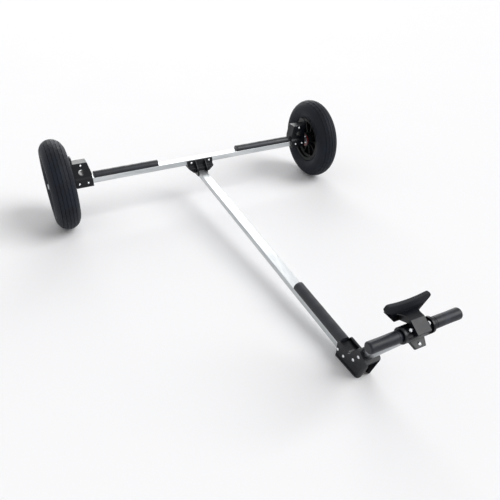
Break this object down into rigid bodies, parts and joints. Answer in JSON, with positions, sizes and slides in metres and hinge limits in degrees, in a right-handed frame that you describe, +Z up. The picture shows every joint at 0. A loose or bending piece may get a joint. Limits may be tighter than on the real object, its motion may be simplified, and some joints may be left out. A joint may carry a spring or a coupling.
{
  "type": "dinghy dolly",
  "caption": "T-shaped launching dolly for a small dinghy: wheeled aluminium axle beam, long tongue, skid knuckle, raised stem with a T handle and a padded bow saddle.",
  "frame": {"origin": "on the floor, in the middle of the dolly's length and width", "axes": "+X along the axle to the side on the right of a person at the handle who faces the axle, -Y towards the handle, +Z up"},
  "size_m": [1.415, 1.7404, 0.4],
  "materials": {
    "aluminium_tube": "clear anodised, satin",
    "black_plastic": "moulded, semi-gloss",
    "rim_plastic": "moulded, satin",
    "black_rubber": "extruded and moulded, matt",
    "tyre": "ribbed tread, matt",
    "red_plastic": "moulded",
    "steel": "plain stainless",
    "bright_steel": "polished cap",
    "bearing_steel": "sealed bearing"
  },
  "bodies": {
    "frame": {"axle_beam": "aluminium_tube", "tongue_tube": "aluminium_tube", "stem_tube": "aluminium_tube", "handle_tube": "aluminium_tube", "tongue_plug": "black_plastic", "tee_connector": "black_plastic", "knuckle_left": "black_plastic", "knuckle_right": "black_plastic", "handle_head": "black_plastic", "saddle_bracket": "black_plastic", "end_bracket_left": "black_plastic", "end_bracket_right": "black_plastic", "saddle_pad": "black_rubber", "tongue_strip": "black_rubber", "beam_strip_left": "black_rubber", "beam_strip_right": "black_rubber", "grip_left": "black_rubber", "grip_right": "black_rubber", "tee_bolts": "steel", "knuckle_bolts": "steel", "head_bolts": "steel", "bracket_bolts_left": "steel", "bracket_bolts_right": "steel", "stub_axle_left": "steel", "axle_spacer_left": "steel", "axle_washer_left": "steel", "axle_cap_left": "bright_steel", "stub_axle_right": "steel", "axle_spacer_right": "steel", "axle_washer_right": "steel", "axle_cap_right": "bright_steel"},
    "wheel_left": {"tyre_left": "tyre", "rim_left": "rim_plastic", "hub_bush_left": "red_plastic", "bearings_left": "bearing_steel"},
    "wheel_right": {"tyre_right": "tyre", "rim_right": "rim_plastic", "hub_bush_right": "red_plastic", "bearings_right": "bearing_steel"}
  },
  "joints": [
    {"name": "wheel_left_spin", "type": "hinge", "parent": "frame", "child": "wheel_left", "pos_m": [-0.6555, 0.6702, 0.2], "axis": [1, 0, 0], "continuous": true},
    {"name": "wheel_right_spin", "type": "hinge", "parent": "frame", "child": "wheel_right", "pos_m": [0.6555, 0.6702, 0.2], "axis": [1, 0, 0], "continuous": true}
  ]
}
